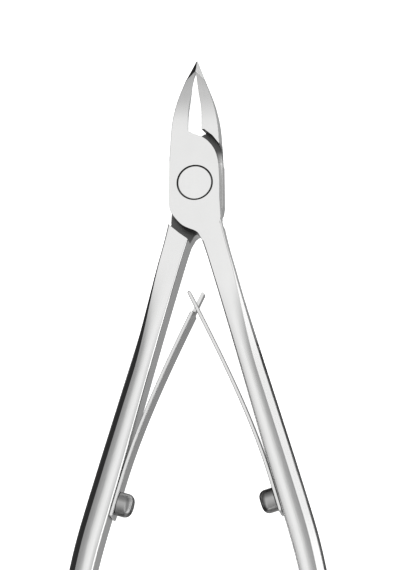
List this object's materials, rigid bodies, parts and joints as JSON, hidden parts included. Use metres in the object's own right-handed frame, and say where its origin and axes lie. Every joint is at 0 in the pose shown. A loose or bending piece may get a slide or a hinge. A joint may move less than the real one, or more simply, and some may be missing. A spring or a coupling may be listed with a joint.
{
  "type": "cuticle nipper",
  "caption": "Steel cuticle nipper with pointed half jaws, a lap joint on a flush pivot pin, slim bevelled handles and crossed leaf springs.",
  "frame": {"origin": "on the pivot axis, in the flat back face that the nipper rests on", "axes": "+Y towards the jaw tips, +X to the right seen from the front, +Z out of the front face along the pivot axis"},
  "size_m": [0.0554, 0.1231, 0.0064],
  "materials": {
    "body_steel": "satin-polished stainless steel, fine grain along each handle",
    "pin_steel": "satin-polished flush with the joint",
    "spring_steel": "rolled strip, lightly polished",
    "screw_steel": "tumbled, darker than the handles"
  },
  "bodies": {
    "back": {"back_half": "body_steel", "pivot_pin": "pin_steel", "left_spring": "spring_steel", "left_spring_screw": "screw_steel"},
    "front": {"front_half": "body_steel", "right_spring": "spring_steel", "right_spring_screw": "screw_steel"}
  },
  "joints": [
    {"name": "pivot", "type": "hinge", "parent": "back", "child": "front", "pos_m": [0, 0, 0], "axis": [0, 0, 1], "range_deg": [0, 12], "stiffness_Nm_per_rad": 2, "springref_deg": 12, "deforming": ["left_spring", "right_spring"]}
  ]
}
